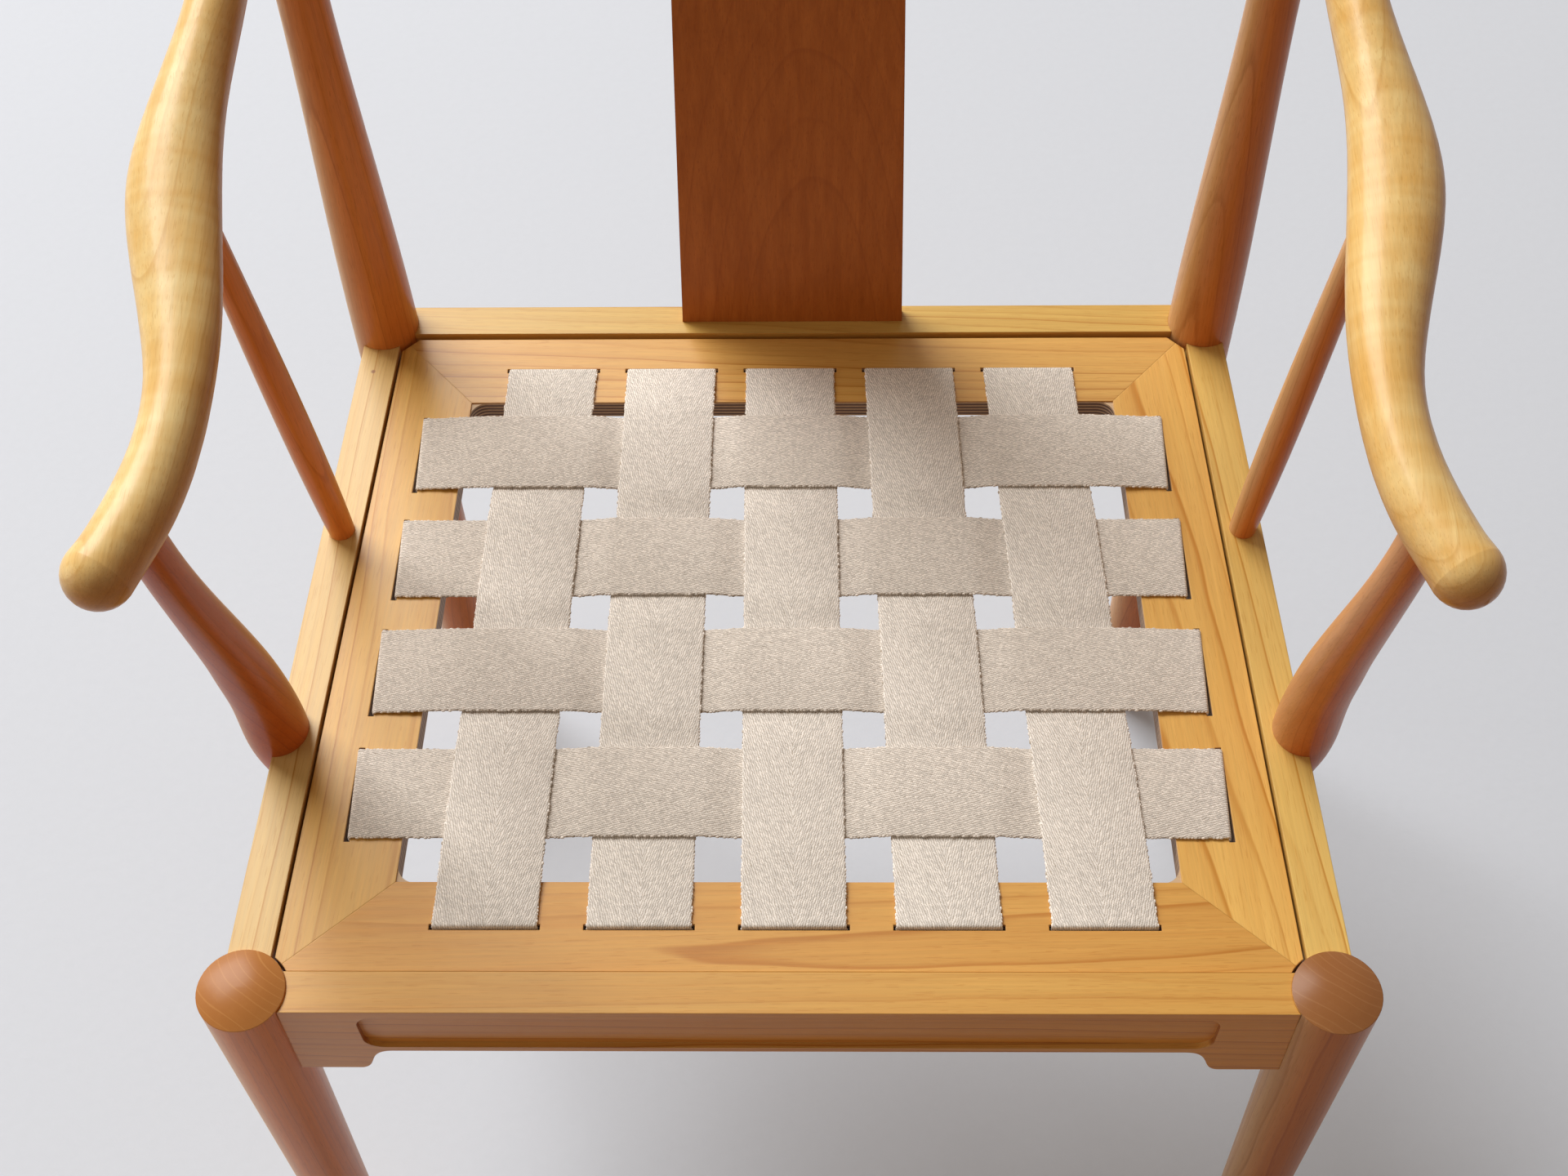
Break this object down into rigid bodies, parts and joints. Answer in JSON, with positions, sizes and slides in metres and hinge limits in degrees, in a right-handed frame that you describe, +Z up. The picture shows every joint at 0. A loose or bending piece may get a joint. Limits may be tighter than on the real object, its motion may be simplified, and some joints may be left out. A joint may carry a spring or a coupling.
{
  "type": "horseshoe back armchair",
  "caption": "Wooden armchair with a horseshoe-shaped arm and back rail, a plain splat and a drop-in seat of woven linen straps.",
  "frame": {"origin": "on the floor, midway between left and right and between the front legs' front and the crest rail's back", "axes": "+Z up, +Y to the chair's back, +X to the right when the chair is seen from its front"},
  "size_m": [0.551, 0.55, 0.82],
  "materials": {
    "frame_wood": "satin lacquer",
    "cleat_wood": "raw, sanded",
    "plywood": "oiled, plies in view",
    "face_veneer": "satin lacquer",
    "lengthwise_linen": "chevron weave",
    "crosswise_linen": "chevron weave",
    "screw_steel": "zinc"
  },
  "bodies": {
    "frame": {"arm_left": "frame_wood", "arm_post_dowels": "frame_wood", "arm_post_left": "frame_wood", "arm_post_right": "frame_wood", "arm_right": "frame_wood", "back_rail": "frame_wood", "cleat_back": "cleat_wood", "cleat_front": "cleat_wood", "cleat_left": "cleat_wood", "cleat_right": "cleat_wood", "cleat_screws": "screw_steel", "crest_rail": "frame_wood", "front_leg_left": "frame_wood", "front_leg_right": "frame_wood", "front_rail": "frame_wood", "rear_leg_left": "frame_wood", "rear_leg_right": "frame_wood", "side_rail_left": "frame_wood", "side_rail_right": "frame_wood", "side_spindle_left": "frame_wood", "side_spindle_right": "frame_wood", "splat": "frame_wood"},
    "seat": {"seat_panel": "plywood", "face_veneer_back": "face_veneer", "face_veneer_front": "face_veneer", "face_veneer_left": "face_veneer", "face_veneer_right": "face_veneer", "crosswise_strap_1": "crosswise_linen", "crosswise_strap_2": "crosswise_linen", "crosswise_strap_3": "crosswise_linen", "crosswise_strap_4": "crosswise_linen", "lengthwise_strap_1": "lengthwise_linen", "lengthwise_strap_2": "lengthwise_linen", "lengthwise_strap_3": "lengthwise_linen", "lengthwise_strap_4": "lengthwise_linen", "lengthwise_strap_5": "lengthwise_linen"}
  },
  "joints": [
    {"name": "seat_lift", "type": "slide", "parent": "frame", "child": "seat", "axis": [0, 0, 1], "range_m": [0, 0.06]}
  ]
}
